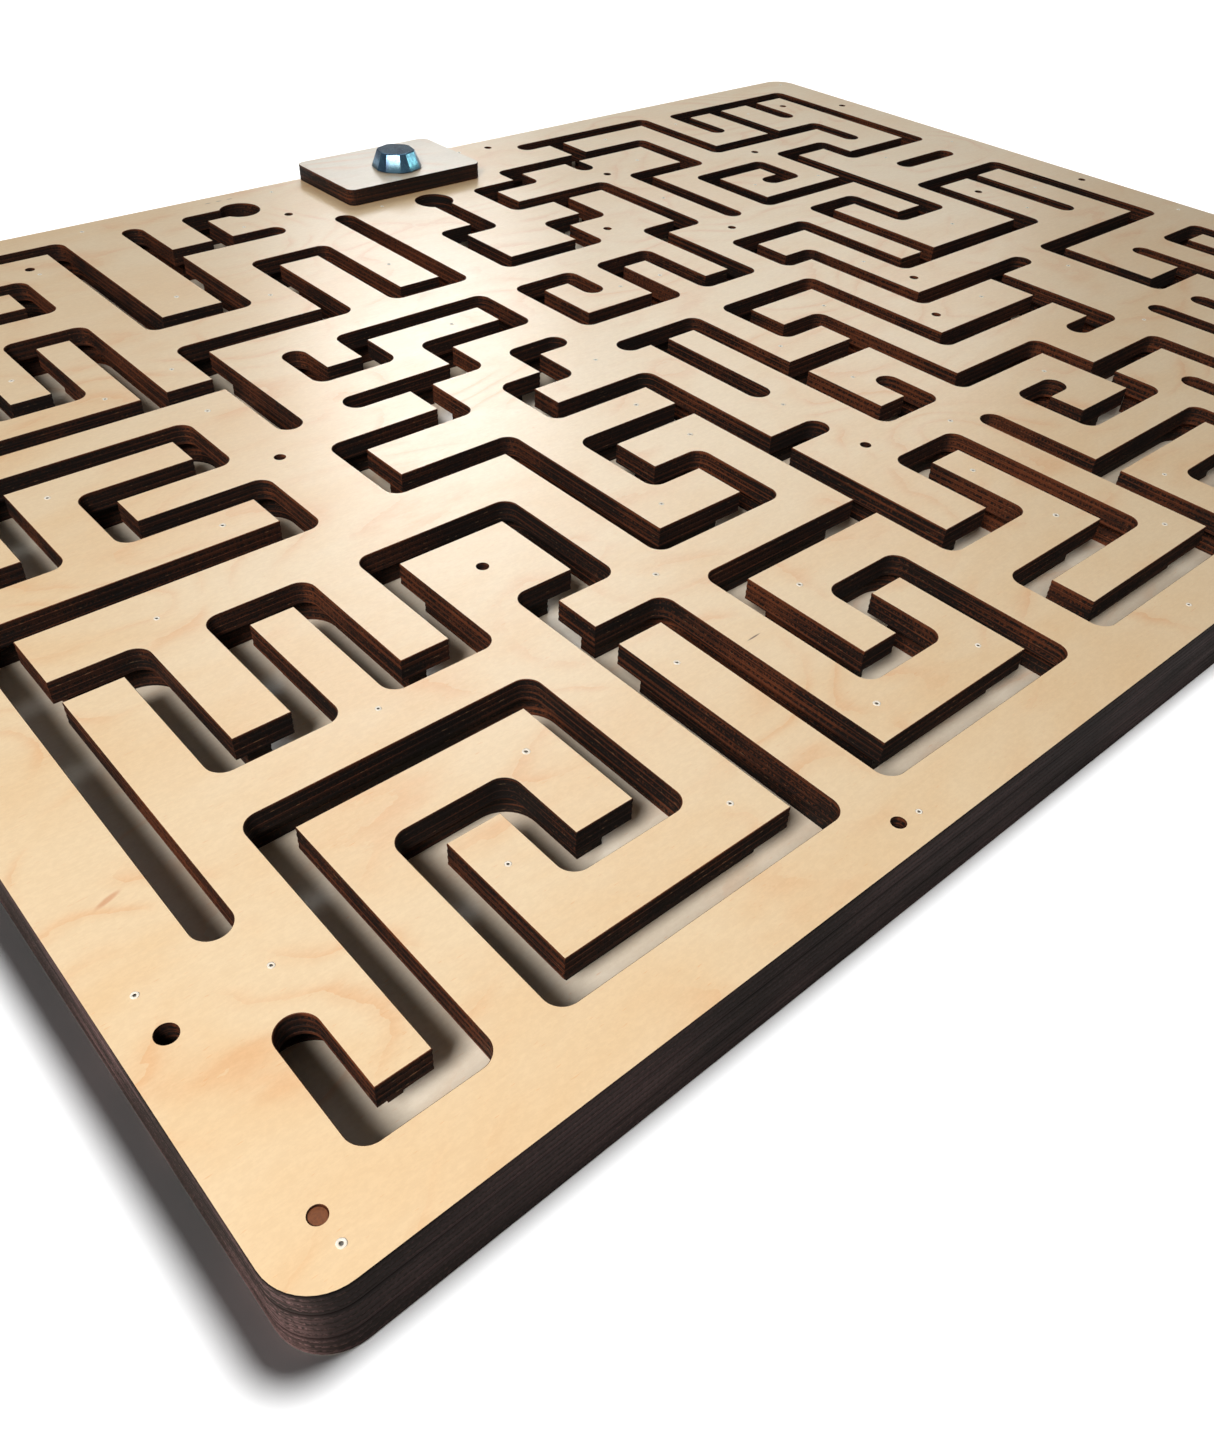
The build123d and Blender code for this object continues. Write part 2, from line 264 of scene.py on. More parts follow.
def shader_group(name, inputs, outputs, lay):
    """A named group; lay(pen, sockets) returns what each output shows, in order."""
    tree = bpy.data.node_groups.get(name)
    if tree:
        return tree
    tree = bpy.data.node_groups.new(name, "ShaderNodeTree")
    for label, kind, value in inputs:
        socket = tree.interface.new_socket(label, in_out="INPUT", socket_type="NodeSocket" + kind)
        if value is not None:
            socket.default_value = value
    for label, kind in outputs:
        tree.interface.new_socket(label, in_out="OUTPUT", socket_type="NodeSocket" + kind)
    pen = Pen(tree)
    given = pen.node("NodeGroupInput").outputs
    shown = lay(pen, {label: given[label] for label, _, _ in inputs})
    pen.node("NodeGroupOutput", enumerate(shown))
    return tree


def lay_veneer(pen, given):
    """Rotary-cut maple: pale ground, soft clouds, wandering growth lines, fine fibre, flecks."""
    sheet = pen.node("ShaderNodeVectorMath", ((0, given["Vector"]), (1, given["Sheet"])),
                     operation="ADD").outputs[0]

    def layer(name, *character):
        return pen.noise(pen.shift(sheet, VENEER[name]), 1.0, *character)

    clouds = layer("clouds", 4.0, 0.6, 0.4)
    ground = pen.mix(pen.fade(clouds, 0.36, 0.66), given["Pale"], given["Warm"])
    # Growth lines are the level lines of a smooth field, sharp on one side and soft on the other.
    field = layer("lines", 1.6, 0.4, 0.35)
    ragged = pen.fade(layer("raggedness", 3.0, 0.65), 0.2, 0.8, -0.006, 0.006)
    field = pen.math("MULTIPLY", pen.math("ADD", field, ragged), GROWTH_LINES)
    thin = pen.fade(pen.math("PINGPONG", field, 0.5), 0.0, 0.30, 0.40, 0.0)
    soft = pen.math("POWER", pen.fade(pen.math("FRACT", field), 0.1, 1.0), 4.0)
    patch = pen.fade(layer("patches", 2.0), 0.40, 0.66)
    line = pen.math("MULTIPLY", pen.math("ADD", thin, pen.math("MULTIPLY", soft, 0.6)), patch)
    line = pen.math("MULTIPLY", line, given["Line Strength"], clamp=True)
    figured = pen.mix(line, ground, given["Line"])
    flake = layer("flakes", 4.0, 0.75)
    figured = pen.mix(pen.fade(flake, 0.34, 0.62, 0.0, 0.30), figured,
                      pen.mix(1.0, figured, FLAKE_SHADE, "MULTIPLY"))
    fibre = layer("fibre", 3.0, 0.6)
    grained = pen.mix(pen.fade(fibre, 0.25, 0.75, 0.0, 0.10), figured,
                      pen.mix(1.0, figured, FIBRE_SHADE, "MULTIPLY"))
    speck = layer("specks", 1.0)
    flecked = pen.mix(pen.fade(speck, 0.70, 0.80, 0.0, 0.35), grained, given["Line"])
    rough = pen.fade(fibre, 0.2, 0.8, -0.05, 0.06)
    return flecked, rough, fibre


def lay_char(pen, given):
    """Laser-cut plies: soot over red-brown, ply by ply, with glints on the glue lines."""
    place = given["Vector"]
    depth = pen.math("SUBTRACT", given["Top"], pen.xyz(place)[2])
    ply = pen.math("DIVIDE", depth, given["Ply"])
    cross = pen.math("MULTIPLY", pen.math("FRACT", pen.math("MULTIPLY", pen.math(
        "FLOOR", ply), 0.5)), 2.0)
    glue = pen.fade(pen.math("PINGPONG", ply, 0.5), 0.0, 0.13, 1.0, 0.0)
    band = pen.node("ShaderNodeCombineXYZ", ((0, 14.0), (1, 14.0), (2, given["Bands"]))).outputs[0]
    long_grain = pen.noise(pen.node("ShaderNodeVectorMath", ((0, place), (1, band)),
                                    operation="MULTIPLY").outputs[0], 1.0, 2.0, 0.45)
    end_grain = pen.noise(place, 1100.0, 2.0, 0.7)
    pulses = pen.noise(pen.shift(place, (1300, 1300, 110)), 1.0, 2.0, 0.6)
    grain = pen.math("ADD", pen.math("MULTIPLY", long_grain, pen.math(
        "SUBTRACT", 1.0, cross)), pen.math("MULTIPLY", end_grain, cross))
    patch = pen.noise(place, 17.0, 3.0, 0.6)
    brown = pen.math("ADD", pen.fade(grain, 0.34, 0.68), pen.fade(patch, 0.30, 0.72, -0.45, 0.35))
    brown = pen.math("SUBTRACT", brown, pen.math("MULTIPLY", cross, given["Steps"]))
    brown = pen.math("ADD", brown, pen.fade(ply, 0.0, 1.6, 0.35, 0.0))
    brown = pen.math("MULTIPLY", brown, pen.fade(pulses, 0.2, 0.7, 0.55, 1.1))
    brown = pen.math("MULTIPLY", brown, given["Scorch"], clamp=True)
    burnt = pen.mix(brown, given["Soot"], given["Ember"])
    glint = pen.math("MULTIPLY", glue, pen.fade(pen.noise(pen.shift(
        place, (420, 420, 900)), 1.0, 2.0), 0.60, 0.70, 0.0, given["Glints"]))
    shown = pen.mix(glint, burnt, given["Glint"])
    rough = pen.fade(grain, 0.2, 0.8, 0.06, -0.10)
    return shown, rough, pen.math("ADD", grain, pen.math("MULTIPLY", pulses, 0.6))


def veneer_group():
    return shader_group("Maple veneer", (
        ("Vector", "Vector", None), ("Sheet", "Vector", (0, 0, 0)),
        ("Pale", "Color", (0.8, 0.8, 0.8, 1)), ("Warm", "Color", (0.8, 0.8, 0.8, 1)),
        ("Line", "Color", (0.5, 0.3, 0.2, 1)), ("Line Strength", "Float", 0.5)),
        (("Color", "Color"), ("Rough", "Float"), ("Height", "Float")), lay_veneer)


def char_group():
    return shader_group("Charred plies", (
        ("Vector", "Vector", None), ("Top", "Float", 0.03), ("Ply", "Float", 0.0013),
        ("Bands", "Float", 900.0), ("Steps", "Float", 0.3), ("Glints", "Float", 0.4),
        ("Scorch", "Float", 1.0), ("Soot", "Color", (0, 0, 0, 1)),
        ("Ember", "Color", (0.1, 0.05, 0.02, 1)), ("Glint", "Color", (0.5, 0.35, 0.2, 1))),
        (("Color", "Color"), ("Rough", "Float"), ("Height", "Float")), lay_char)


def lay_wear(pen, given):
    """Fine handling marks: a mottled patch and hair scratches."""
    cloud = pen.noise(given["Vector"], given["Scale"], 4.0, 0.6, 0.3)
    scratch = pen.noise(pen.shift(given["Vector"], (1, 9, 3), turn=0.6),
                        pen.math("MULTIPLY", given["Scale"], 9.0), 2.0)
    return (pen.fade(cloud, 0.3, 0.7), pen.fade(scratch, 0.60, 0.72),
            pen.math("ADD", pen.math("MULTIPLY", cloud, 0.4), scratch))


def wear_group():
    return shader_group("Handling wear", (
        ("Vector", "Vector", None), ("Scale", "Float", 200.0)),
        (("Patch", "Float"), ("Scratch", "Float"), ("Height", "Float")), lay_wear)


def start_material(name):
    """An empty node material: its pen, its shader and the object coordinates."""
    material = bpy.data.materials.new(name)
    material.use_nodes = True
    material.node_tree.nodes.clear()
    pen = Pen(material.node_tree)
    shader = pen.node("ShaderNodeBsdfPrincipled")
    pen.node("ShaderNodeOutputMaterial", ((0, shader.outputs[0]),))
    return material, pen, shader, pen.node("ShaderNodeTexCoord").outputs["Object"]


def bump(pen, shader, height, strength, distance):
    pen.feed(shader.inputs["Normal"], pen.node("ShaderNodeBump", (
        ("Strength", strength), ("Distance", distance), ("Height", height))).outputs[0])


def mark(pen, place, centre, half_length, half_width, turn=0.0):
    """A soft-ended dash on the face: 1 on its middle line and 0 away from it."""
    local = pen.node("ShaderNodeMapping", ((0, place), (1, tuple(centre)), (2, (0, 0, turn)),
                     (3, (half_length, half_width, 1))), vector_type="TEXTURE").outputs[0]
    flat = pen.node("ShaderNodeVectorMath", ((0, local), (1, (1, 1, 0))),
                    operation="MULTIPLY").outputs[0]
    away = pen.node("ShaderNodeVectorMath", ((0, flat),), operation="LENGTH").outputs["Value"]
    return pen.fade(away, 0.35, 1.0, 1.0, 0.0)


def veneer_material(name, sheet, wood, strength, pale=None, warm=None, marks=()):
    """Satin veneer; marks are (centre, half length, half width, turn, colour, opacity)."""
    material, pen, shader, place = start_material(name)
    shown, rough, height = pen.group(
        veneer_group(), Vector=place, Sheet=sheet, Pale=pale or tuple(wood.pale),
        Warm=warm or tuple(wood.warm), Line=tuple(wood.line), Line_Strength=strength)
    for centre, half_length, half_width, turn, tint, opacity in marks:
        factor = pen.math("MULTIPLY", mark(pen, place, centre, half_length, half_width, turn),
                          opacity)
        shown = pen.mix(factor, shown, (*tint, 1))
    pen.feed(shader.inputs["Base Color"], shown)
    pen.feed(shader.inputs["Roughness"], pen.math("ADD", rough, 0.34))
    shader.inputs["Specular IOR Level"].default_value = 0.5
    bump(pen, shader, height, 0.25, 0.0001)
    return material


def char_material(name, wood, top, ply, scorch=1.0, rim=False):
    """Laser-charred ply edge for a panel whose top face is at this height."""
    material, pen, shader, place = start_material(name)
    # Painted shade and light: walls and rim that face -Y get less red-brown and more soot, so they
    # look unlit, and a rim that faces -X is painted lighter, as if lit from the left.
    facing = pen.xyz(pen.node("ShaderNodeTexCoord").outputs["Normal"])
    shown, rough, height = pen.group(
        char_group(), Vector=place, Top=top, Ply=ply, Soot=tuple(wood.soot), Glint=GLINT,
        # Painted shade: the Scorch share drops to a quarter on faces towards -Y, which leaves them
        # sootier and darker.
        Scorch=pen.fade(facing[1], -0.95, -0.55, 0.25 * scorch, scorch),
        Ember=tuple(wood.rim if rim else wood.ember), **(RIM_CHAR if rim else WALL_CHAR))
    if rim:
        # Painted light: the rim is drawn up to three times lighter where it faces -X.
        painted_rim_light = pen.fade(facing[0], -1.0, -0.3, 3.0, 1.0)
        depth = pen.math("SUBTRACT", top, pen.xyz(place)[2])
        glued = pen.fade(depth, 0.0, GLUE_LINE, 0.35, 1.0)
        for shade in (painted_rim_light, glued):
            shown = pen.mix(1.0, shown, shade, "MULTIPLY")
    pen.feed(shader.inputs["Base Color"], shown)
    pen.feed(shader.inputs["Roughness"], pen.math("ADD", rough, 0.62))
    shader.inputs["Specular IOR Level"].default_value = 0.01 if rim else 0.08
    bump(pen, shader, height, 0.15 if rim else 0.5, 0.00015)
    return material


def metal_material(name, base, patch, rough, scale, scratch=0.5):
    """Plated or polished metal with cloudy patches and hair scratches."""
    material, pen, shader, place = start_material(name)
    cloud, hair, height = pen.group(wear_group(), Vector=place, Scale=scale)
    pen.feed(shader.inputs["Base Color"], pen.mix(cloud, tuple(base), tuple(patch)))
    pen.feed(shader.inputs["Roughness"], pen.math("ADD", pen.math(
        "MULTIPLY", cloud, 0.10), pen.math("ADD", pen.math("MULTIPLY", hair, 0.12), rough)))
    shader.inputs["Metallic"].default_value = 1.0
    bump(pen, shader, height, 0.12 * scratch, 0.00005)
    return material


def worn_material(name, base, patch, rough, scale, strength):
    """A plain finish with cloudy patches: stained end grain, torn fibre or nylon."""
    material, pen, shader, place = start_material(name)
    cloud, _, height = pen.group(wear_group(), Vector=place, Scale=scale)
    pen.feed(shader.inputs["Base Color"], pen.mix(cloud, tuple(base), tuple(patch)))
    shader.inputs["Roughness"].default_value = rough
    bump(pen, shader, height, strength, 0.0001)
    return material


def paint(node, material):
    """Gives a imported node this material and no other."""
    materials = NODES[node].data.materials
    materials.clear()
    materials.append(material)


def merged_copy(node):
    """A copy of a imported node's mesh with its loose triangles joined, as a bmesh."""
    shell = bmesh.new()
    shell.from_mesh(NODES[node].data)
    bmesh.ops.remove_doubles(shell, verts=shell.verts, dist=SAME_POINT)
    return shell


def add_piece(name, shell, materials, body, slot, *nodes):
    """Turns a bmesh into a finished piece that rides on a body and may stand for nodes."""
    mesh = bpy.data.meshes.new(name)
    shell.to_mesh(mesh)
    shell.free()
    for material in materials:
        mesh.materials.append(material)
    piece = bpy.data.objects.new(name, mesh)
    bpy.context.scene.collection.objects.link(piece)
    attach(piece, body)
    if nodes:
        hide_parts(*nodes)
    return piece


def face_chains(shell, level, up):
    """The closed chains of vertices round a flat face, its material on their left."""
    flat = {face for face in shell.faces if face.normal.z * up > 0.99
            and all(abs(v.co.z - level) < SAME_LEVEL for v in face.verts)}
    follow = {loop.vert: loop.link_loop_next.vert for face in flat for loop in face.loops
              if any(other not in flat for other in loop.edge.link_faces)}
    chains = []
    while follow:
        first = vertex = next(iter(follow))
        chain = []
        while vertex in follow:
            chain.append(vertex)
            vertex = follow.pop(vertex)
        if vertex is first:
            chains.append(chain)
    return flat, chains


def outward(chain):
    """For each vertex of a chain, the level step that moves both its walls out by one."""
    steps = []
    for i, vertex in enumerate(chain):
        before = vertex.co - chain[i - 1].co
        after = chain[(i + 1) % len(chain)].co - vertex.co
        a = Vector((before.y, -before.x, 0)).normalized()
        b = Vector((after.y, -after.x, 0)).normalized()
        steps.append((a + b) / (1 + max(a.dot(b), -0.5)))
    return steps


def ply_shell(node, plies, chamfer, ledge):
    """A panel whose long cut walls are rebuilt ply by ply, with softened top and bottom rims.

    Face material 0 is the veneer, 1 the charred walls inside and 2 the outside rim."""
    shell = merged_copy(node)
    low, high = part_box(node)
    tops, chains = face_chains(shell, high.z, 1)
    bottoms, under = face_chains(shell, low.z, -1)
    for face in shell.faces:
        face.material_index = 0 if face in tops or face in bottoms else 1
    below = {(round(v.co.x, 6), round(v.co.y, 6)): v for chain in under for v in chain}
    ply = (high.z - low.z) / plies
    for chain in chains:
        around = sum((v.co - chain[i - 1].co).length for i, v in enumerate(chain))
        feet = [below.get((round(v.co.x, 6), round(v.co.y, 6))) for v in chain]
        if around < LONG_CUT or None in feet:
            continue
        ends = set(chain) | set(feet)
        walls = [face for face in {f for v in chain for f in v.link_faces}
                 | {f for v in feet for f in v.link_faces}
                 if face.material_index == 1 and all(v in ends for v in face.verts)]
        bmesh.ops.delete(shell, geom=walls, context="FACES")
        out = outward(chain)
        levels = [(high.z - chamfer, 0.0)]
        for k in range(1, plies):
            now, later = (-ledge if n % 2 else 0.0 for n in (k - 1, k))
            joint = high.z - k * ply
            levels += [(joint + PLY_STEP, now), (joint - PLY_STEP, later)]
        levels.append((low.z + chamfer, 0.0))
        rings = [chain]
        for z, offset in levels:
            rings.append([shell.verts.new((v.co.x + n.x * offset, v.co.y + n.y * offset, z))
                          for v, n in zip(chain, out)])
        rings.append(feet)
        for v, foot, n in zip(chain, feet, out):
            v.co -= n * chamfer
            foot.co -= n * chamfer
        count = len(chain)
        outside = min(v.co.x for v in chain) < low.x + MM
        for upper, lower in zip(rings, rings[1:]):
            for i in range(count):
                j = (i + 1) % count
                wall = shell.faces.new((upper[i], lower[i], lower[j], upper[j]))
                wall.material_index = 2 if outside else 1
    loose = [e for e in shell.edges if not e.link_faces]
    bmesh.ops.delete(shell, geom=loose, context="EDGES")
    shell.normal_update()
    for face in shell.faces:
        face.smooth = face.material_index > 0
    for edge in shell.edges:
        if len(edge.link_faces) == 2 and edge.calc_face_angle() > PLY_CREASE:
            edge.smooth = False
    return shell


def face_marks():
    """The marks on the top face: two stray flecks, and the dashes by the two holes."""
    marks = list(FLECKS)
    for hole, side, across in DASH_ROWS:
        for k in range(3):
            along = (k * DASH_PITCH - DASH_REACH) * side
            marks.append((hole + Vector((along, across, 0)), 2.6 * MM, 0.7 * MM, 0.0, BURN, 0.6))
    return marks


class MAZE_OT_panels(bpy.types.Operator):
    """Finish the three glued panels: veneer faces, charred and stepped ply edges"""

    bl_idname = "maze.panels"
    bl_label = "Finish panels"

    def execute(self, context):
        wood = context.scene.maze.wood
        lane = tuple(wood.lane)
        for node in ("maze_panel", "channel_panel", "floor_panel"):
            plies, sheet = SHEETS[node]
            low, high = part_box(node)
            ply = (high.z - low.z) / plies
            if node == "maze_panel":
                face = veneer_material("Maple face", sheet, wood, 0.42, marks=face_marks())
            else:
                face = veneer_material("Maple " + node, sheet, wood, 0.25, lane,
                                       (lane[0] * 0.95, lane[1] * 0.93, lane[2] * 0.9, 1))
            edge = char_material("Charred " + node, wood, high.z, ply)
            rim = char_material("Rim " + node, wood, high.z, ply, rim=True)
            shell = ply_shell(node, plies, wood.chamfer, wood.ledge)
            add_piece(node + "_finished", shell, (face, edge, rim), "board", "birch_ply", node)
        return {"FINISHED"}


class MAZE_OT_swing_plate(bpy.types.Operator):
    """Finish the small plate that swings on the bolt"""

    bl_idname = "maze.swing_plate"
    bl_label = "Finish swing plate"

    def execute(self, context):
        wood = context.scene.maze.wood
        plies, sheet = SHEETS["swing_plate"]
        low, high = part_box("swing_plate")
        face = veneer_material("Maple plate", sheet, wood, 0.35, tuple(wood.plate),
                               dim(wood.plate, 0.93))
        edge = char_material("Charred plate", wood, high.z, (high.z - low.z) / plies, 0.8)
        shell = ply_shell("swing_plate", plies, wood.chamfer, wood.ledge)
        add_piece("swing_plate_finished", shell, (face, edge, edge), "plate", "birch_ply",
                  "swing_plate")
        return {"FINISHED"}


def brad_places():
    """The middle of every brad's head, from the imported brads."""
    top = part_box("brad_nails")[1].z
    heads = {}
    for vertex in NODES["brad_nails"].data.vertices:
        if vertex.co.z > top - HEAD_SKIN:
            key = (round(vertex.co.x / HEAD_CELL), round(vertex.co.y / HEAD_CELL))
            heads.setdefault(key, []).append(vertex.co.copy())
    middles = []
    for points in heads.values():
        middle = sum(points, Vector()) / len(points)
        near = [m for m in middles if (m[0] - middle).length < HEAD_REACH]
        if near:
            near[0][1].extend(points)
            near[0][0] = sum(near[0][1], Vector()) / len(near[0][1])
        else:
            middles.append([middle, points])
    return [m[0] for m in middles]


def lip_tree(material):
    """Geometry Nodes: a ragged, flattened ring of crushed wood on every point."""
    tree = bpy.data.node_groups.new("Brad lips", "GeometryNodeTree")
    face = tree.interface
    face.new_socket("Geometry", in_out="INPUT", socket_type="NodeSocketGeometry")
    for label in ("Radius", "Thickness", "Ragged"):
        face.new_socket(label, in_out="INPUT", socket_type="NodeSocketFloat")
    face.new_socket("Seed", in_out="INPUT", socket_type="NodeSocketInt")
    face.new_socket("Geometry", in_out="OUTPUT", socket_type="NodeSocketGeometry")
    pen = Pen(tree)
    given = pen.node("NodeGroupInput").outputs
    ring = pen.node("GeometryNodeCurvePrimitiveCircle", (("Resolution", 14),
                    ("Radius", given["Radius"]))).outputs[0]
    section = pen.node("GeometryNodeCurvePrimitiveCircle", (("Resolution", 6),
                       ("Radius", given["Thickness"]))).outputs[0]
    tube = pen.node("GeometryNodeCurveToMesh", ((0, ring), (1, section))).outputs[0]
    flat = pen.node("GeometryNodeTransform", (("Geometry", tube),
                    ("Scale", (1, 1, LIP_FLATNESS)))).outputs[0]
    turn = pen.node("FunctionNodeRandomValue", (
        (0, (-LIP_TILT, -LIP_TILT, 0)), (1, (LIP_TILT, LIP_TILT, LIP_TURN)),
        ("Seed", given["Seed"])), data_type="FLOAT_VECTOR").outputs[0]
    size = pen.node("FunctionNodeRandomValue", (
        (2, LIP_SIZES[0]), (3, LIP_SIZES[1]), ("Seed", given["Seed"])),
        data_type="FLOAT").outputs[1]
    spread = pen.node("GeometryNodeInstanceOnPoints", (("Points", given["Geometry"]),
                      ("Instance", flat), ("Rotation", turn), ("Scale", size))).outputs[0]
    real = pen.node("GeometryNodeRealizeInstances", ((0, spread),)).outputs[0]
    wander = pen.node("ShaderNodeTexNoise", (("Scale", 1400.0), ("Detail", 1.0))).outputs["Color"]
    centred = pen.node("ShaderNodeVectorMath", ((0, wander), (1, (0.5, 0.5, 0.5))),
                       operation="SUBTRACT").outputs[0]
    reach = pen.node("ShaderNodeVectorMath", ((0, centred), ("Scale", given["Ragged"])),
                     operation="SCALE").outputs[0]
    torn = pen.node("GeometryNodeSetPosition", ((0, real), ("Offset", reach))).outputs[0]
    smooth = pen.node("GeometryNodeSetShadeSmooth", ((0, torn),)).outputs[0]
    done = pen.node("GeometryNodeSetMaterial", ((0, smooth), ("Material", material))).outputs[0]
    pen.node("NodeGroupOutput", ((0, done),))
    return tree


class MAZE_OT_brads(bpy.types.Operator):
    """Dull the brad heads and raise a lip of crushed wood round each of them"""

    bl_idname = "maze.brads"
    bl_label = "Finish brads"

    def execute(self, context):
        brads = context.scene.maze.brads
        paint("brad_nails", metal_material("Dulled brad steel", brads.head,
                                           dim(brads.head, 0.5), 0.38, 600.0))
        fibre = worn_material("Crushed fibre", brads.fibre, LIP_SHADE, 0.55, 900.0, 0.4)
        points = bpy.data.meshes.new("brad_points")
        points.from_pydata([(p.x, p.y, BOARD_TOP - LIP_SINK) for p in brad_places()], [], [])
        grower = bpy.data.objects.new("brad_points", points)
        context.scene.collection.objects.link(grower)
        modifier = grower.modifiers.new("Brad lips", "NODES")
        tree = lip_tree(fibre)
        modifier.node_group = tree
        for item in tree.interface.items_tree:
            if item.in_out == "INPUT" and item.name != "Geometry":
                modifier[item.identifier] = getattr(brads, item.name.lower())
        graph = context.evaluated_depsgraph_get()
        grown = bpy.data.meshes.new_from_object(grower.evaluated_get(graph), depsgraph=graph)
        bpy.data.objects.remove(grower)
        lips = bpy.data.objects.new("brad_lips", grown)
        context.scene.collection.objects.link(lips)
        if not grown.materials:
            raise RuntimeError("the brad lips came out with no material")
        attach(lips, "board")
        return {"FINISHED"}


class MAZE_OT_dowel(bpy.types.Operator):
    """Stain the dowel that fills the peg hole nearest the corner"""

    bl_idname = "maze.dowel"
    bl_label = "Finish dowel"

    def execute(self, context):
        wood = context.scene.maze.wood
        paint("corner_dowel", worn_material("Dowel end grain", wood.dowel,
                                            dim(wood.dowel, 0.7), 0.7, 1500.0, 0.3))
        return {"FINISHED"}


class MAZE_OT_pivot(bpy.types.Operator):
    """Finish the pivot: zinc-plated bolt, washers and tapered cap nut, and the nylon glide"""

    bl_idname = "maze.pivot"
    bl_label = "Finish pivot"

    def execute(self, context):
        hardware = context.scene.maze.hardware
        zinc = metal_material("Blue zinc", hardware.zinc, hardware.deep, 0.16, 160.0)
        nylon = worn_material("Milky nylon", hardware.nylon, dim(hardware.nylon, 0.93), 0.45,
                              300.0, 0.2)
        for node in ("pivot_bolt", "head_washer", "nut_washer"):
            paint(node, zinc)
        paint("glide_washer", nylon)
        shell = merged_copy("cap_nut")
        bmesh.ops.dissolve_limit(shell, angle_limit=NUT_FLAT, verts=shell.verts,
                                 edges=shell.edges)
        sharp = [e for e in shell.edges if len(e.link_faces) == 2
                 and e.calc_face_angle() > NUT_EDGE]
        bmesh.ops.bevel(shell, geom=sharp, offset=hardware.rounding, segments=3,
                        affect="EDGES", clamp_overlap=True, profile=0.5)
        for face in shell.faces:
            face.smooth = True
        for edge in shell.edges:
            if len(edge.link_faces) == 2 and edge.calc_face_angle() > NUT_CREASE:
                edge.smooth = False
        add_piece("cap_nut_finished", shell, (zinc,), "board", "zinc_plate", "cap_nut")
        return {"FINISHED"}


class MAZE_OT_ball(bpy.types.Operator):
    """Polish the steel ball that runs in the lanes"""

    bl_idname = "maze.ball"
    bl_label = "Finish ball"

    def execute(self, context):
        hardware = context.scene.maze.hardware
        paint("steel_ball", metal_material("Polished ball", hardware.steel,
                                           dim(hardware.steel, 0.9), 0.05, 260.0, 0.3))
        return {"FINISHED"}


def softbox(name, place, aim, width, height, power, tint=(1, 1, 1)):
    """A rectangular light, seen only by its light."""
    data = bpy.data.lights.new(name, "AREA")
    data.shape, data.size, data.size_y = "RECTANGLE", width, height
    data.energy, data.color = power, tint
    lamp = bpy.data.objects.new(name, data)
    lamp.location = place
    lamp.rotation_mode = "QUATERNION"
    lamp.rotation_quaternion = (Vector(aim) - Vector(place)).to_track_quat("-Z", "Y")
    lamp.visible_camera = False
    bpy.context.scene.collection.objects.link(lamp)
    return lamp


def shine_on(lamp, name, objects, state):
    """Keeps a light on (INCLUDE) or off (EXCLUDE) the given objects."""
    targets = bpy.data.collections.new(name)
    for item in objects:
        targets.objects.link(item)
    for entry in targets.collection_objects:
        entry.light_linking.link_state = state
    lamp.light_linking.receiver_collection = targets


def lay_floor(studio):
    """A pale floor that is clear from below and to light on its way to the underside."""
    half = studio.floor / 2
    mesh = bpy.data.meshes.new("pale_floor")
    mesh.from_pydata([(x, y, -FLOOR_GAP) for x, y in (
        (-half, -half), (half, -half), (half, half), (-half, half))], [], [(0, 1, 2, 3)])
    floor = bpy.data.objects.new("pale_floor", mesh)
    bpy.context.scene.collection.objects.link(floor)
    material, pen, shader, _ = start_material("Pale floor")
    shader.inputs["Base Color"].default_value = (0.93, 0.93, 0.93, 1)
    shader.inputs["Roughness"].default_value = 0.9
    shader.inputs["Specular IOR Level"].default_value = 0.0
    behind = pen.node("ShaderNodeNewGeometry").outputs["Backfacing"]
    near = pen.math("LESS_THAN", pen.node("ShaderNodeLightPath").outputs["Ray Length"],
                    FLOOR_SKIP)
    clear = pen.node("ShaderNodeBsdfTransparent").outputs[0]
    one_sided = pen.node("ShaderNodeMixShader", (
        (0, pen.math("MAXIMUM", behind, near)), (1, shader.outputs[0]), (2, clear))).outputs[0]
    way_out = next(n for n in material.node_tree.nodes if n.type == "OUTPUT_MATERIAL")
    pen.feed(way_out.inputs[0], one_sided)
    mesh.materials.append(material)
    return floor


def set_air(studio):
    """A white backdrop that lights little and shows softly in reflections."""
    world = bpy.data.worlds.new("Pale air")
    world.use_nodes = True
    world.node_tree.nodes.clear()
    pen = Pen(world.node_tree)
    path = pen.node("ShaderNodeLightPath").outputs
    level = pen.math("MULTIPLY", path["Is Glossy Ray"], studio.gleam - studio.air)
    level = pen.math("ADD", pen.math("MULTIPLY", path["Is Camera Ray"], 1.0 - studio.air),
                     pen.math("ADD", level, studio.air))
    way = pen.xyz(pen.node("ShaderNodeTexCoord").outputs["Generated"])
    level = pen.math("MAXIMUM", level, pen.fade(way[2], -0.4, -0.1, SKY_BELOW, 0.0))
    sky = pen.node("ShaderNodeBackground", ((0, (1, 1, 1, 1)), (1, level))).outputs[0]
    pen.node("ShaderNodeOutputWorld", ((0, sky),))
    bpy.context.scene.world = world
    bpy.context.scene.view_settings.view_transform = "Standard"


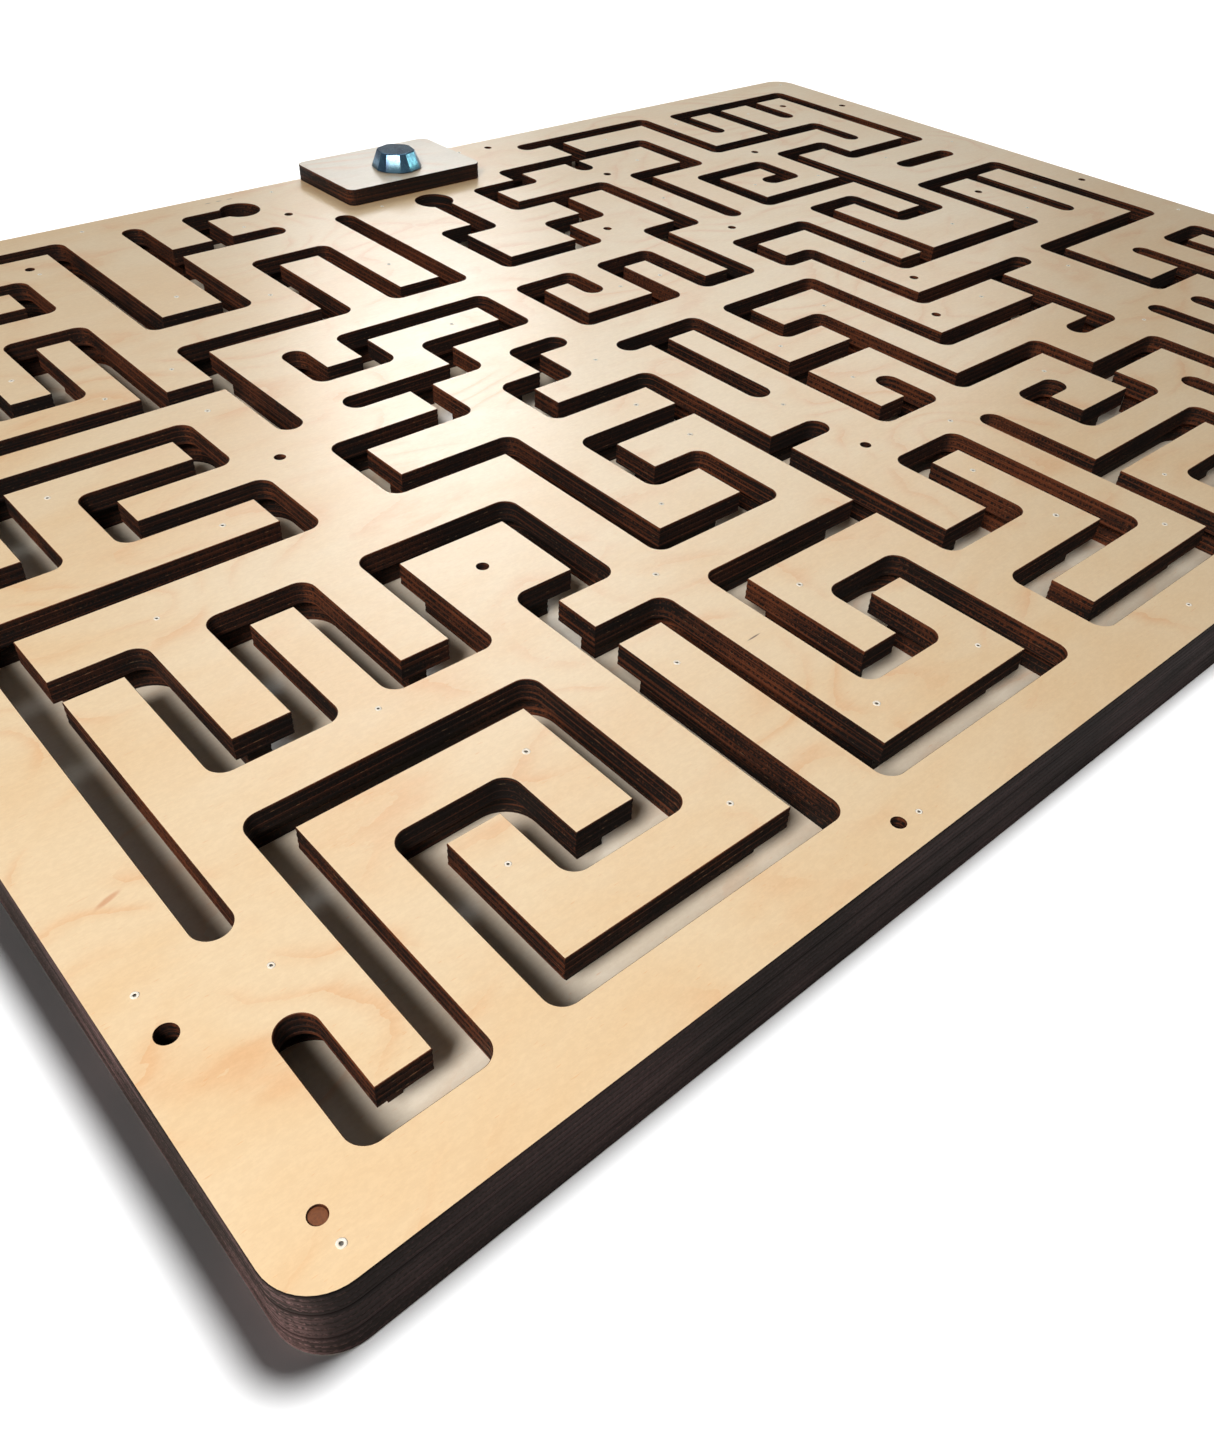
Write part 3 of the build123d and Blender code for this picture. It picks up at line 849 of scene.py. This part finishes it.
def set_lights(studio, floor):
    """Softboxes for the board, two more for the nut's facets, and the floor's own light."""
    nut = bpy.data.objects["cap_nut_finished"]
    for setting, share, name, place, aim, width, height, tint in SOFTBOXES:
        lamp = softbox(name, place, aim, width, height, getattr(studio, setting) * share, tint)
        if setting == "facets":
            shine_on(lamp, name + "_targets", (nut,), "INCLUDE")
            continue
        lamp.visible_diffuse = setting != "sheen"
        spared = (floor, nut) if setting == "sheen" else (floor,)
        shine_on(lamp, name + "_targets", spared, "EXCLUDE")
    data = bpy.data.lights.new("floor_light", "SUN")
    data.energy, data.angle = studio.sun, SUN_ANGLE
    sun = bpy.data.objects.new("floor_light", data)
    sun.rotation_mode = "QUATERNION"
    sun.rotation_quaternion = SUN_WAY.to_track_quat("-Z", "Y")
    bpy.context.scene.collection.objects.link(sun)
    shine_on(sun, "floor_light_targets", (floor,), "INCLUDE")


def place_camera(studio):
    """A camera over the near left corner that looks along the board."""
    data = bpy.data.cameras.new("camera")
    data.lens, data.sensor_width, data.clip_start = studio.lens, 36, 0.01
    camera = bpy.data.objects.new("camera", data)
    camera.location = CAMERA_PLACE
    camera.rotation_mode = "QUATERNION"
    look = (CAMERA_AIM - CAMERA_PLACE).to_track_quat("-Z", "Y")
    camera.rotation_quaternion = look @ Quaternion((0, 0, 1), studio.roll)
    bpy.context.scene.collection.objects.link(camera)
    bpy.context.scene.camera = camera


class MAZE_OT_stage(bpy.types.Operator):
    """Lay the pale floor, set the soft lights and place the camera"""

    bl_idname = "maze.stage"
    bl_label = "Set stage"

    def execute(self, context):
        studio = context.scene.maze.studio
        floor = lay_floor(studio)
        set_air(studio)
        set_lights(studio, floor)
        place_camera(studio)
        return {"FINISHED"}


STEPS = (MAZE_OT_panels, MAZE_OT_swing_plate, MAZE_OT_brads, MAZE_OT_dowel, MAZE_OT_pivot,
         MAZE_OT_ball, MAZE_OT_stage)


class MAZE_PT_sidebar(bpy.types.Panel):
    """Lists the steps and settings of the tilt maze"""

    bl_idname = "MAZE_PT_sidebar"
    bl_label = "Tilt Maze"
    bl_space_type = "VIEW_3D"
    bl_region_type = "UI"
    bl_category = "Tilt Maze"

    def draw(self, context):
        settings = context.scene.maze
        for step in STEPS:
            self.layout.operator(step.bl_idname)
        for name in ("wood", "brads", "hardware", "studio"):
            box = self.layout.box()
            box.label(text=name.capitalize())
            group = getattr(settings, name)
            for key in group.bl_rna.properties.keys():
                if key not in ("rna_type", "name"):
                    box.prop(group, key)


CLASSES = (MazeWoodSettings, MazeBradSettings, MazeHardwareSettings, MazeStudioSettings,
           MazeSettings, *STEPS, MAZE_PT_sidebar)


def register():
    for item in CLASSES:
        bpy.utils.register_class(item)
    bpy.types.Scene.maze = PointerProperty(type=MazeSettings)


def unregister():
    del bpy.types.Scene.maze
    for item in reversed(CLASSES):
        bpy.utils.unregister_class(item)


def main():
    register()
    for step in STEPS:
        space, name = step.bl_idname.split(".")
        getattr(getattr(bpy.ops, space), name)()


if __name__ == "__main__":
    main()
